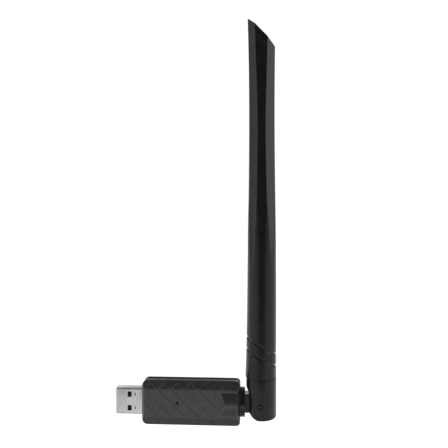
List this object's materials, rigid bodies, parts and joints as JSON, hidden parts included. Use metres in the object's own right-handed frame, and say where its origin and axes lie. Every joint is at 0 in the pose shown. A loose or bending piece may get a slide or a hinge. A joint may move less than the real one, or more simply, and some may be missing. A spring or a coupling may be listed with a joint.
{
  "type": "usb wifi adapter",
  "caption": "Black USB Wi-Fi adapter: bevelled body with a diamond line pattern, a USB-A plug at one end, and at the other a swivelling, folding blade antenna.",
  "frame": {"origin": "centre of the body's plug face, on the plug's axis", "axes": "-X the way the plug points, +Z along the antenna as it stands at rest, -Y the indicator side"},
  "size_m": [0.0738, 0.0136, 0.1864],
  "materials": {
    "body_front": "fine spark-eroded texture",
    "body_back": "fine spark-eroded texture",
    "window": "smoked, polished",
    "plug_steel": "nickel plated, fine rolled grain",
    "insulator": "moulded nylon",
    "contact_gold": "gold flashed",
    "board": "solder mask over glass fibre",
    "led": "clear resin over white",
    "can_steel": "tinned",
    "chip": "moulded epoxy",
    "crystal_can": "nickel lid",
    "inductor": "pressed ferrite",
    "capacitor": "ceramic with tinned ends",
    "resistor": "glazed with tinned ends",
    "solder": "bright solder",
    "coax_jacket": "smooth jacket",
    "neck_black": "satin",
    "ring_rubber": "soft",
    "antenna_black": "satin",
    "pin_black": "black oxide steel",
    "strip": "bare glass fibre laminate",
    "copper": "bare copper",
    "foam": "open-cell foam"
  },
  "bodies": {
    "housing": {"front_cover": "body_front", "back_cover": "body_back", "indicator_window": "window", "usb_shell": "plug_steel", "usb_insulator": "insulator", "usb_contacts": "contact_gold", "circuit_board": "board", "indicator_led": "led", "shield_can": "can_steel", "radio_chip": "chip", "front_end_chips": "chip", "crystal": "crystal_can", "memory_chip": "chip", "power_regulator": "chip", "power_inductor": "inductor", "chip_capacitors": "capacitor", "chip_resistors": "resistor", "coax_lead": "coax_jacket", "lead_solder": "solder"},
    "neck": {"swivel_neck": "neck_black", "friction_ring": "ring_rubber", "neck_coax": "coax_jacket"},
    "antenna": {"hinge_knuckle": "antenna_black", "hinge_pins": "pin_black", "coax_bend": "coax_jacket", "antenna_sleeve": "antenna_black", "antenna_board": "strip", "antenna_traces": "copper", "antenna_coax": "coax_jacket", "feed_solder": "solder", "foam_pads": "foam"}
  },
  "joints": [
    {"name": "neck_swivel", "type": "hinge", "parent": "housing", "child": "neck", "pos_m": [0.045, 0, 0], "axis": [1, 0, 0], "range_deg": [-160, 160]},
    {"name": "antenna_fold", "type": "hinge", "parent": "neck", "child": "antenna", "pos_m": [0.054, 0, 0], "axis": [0, 1, 0], "range_deg": [0, 90], "deforming": ["coax_bend"]}
  ]
}
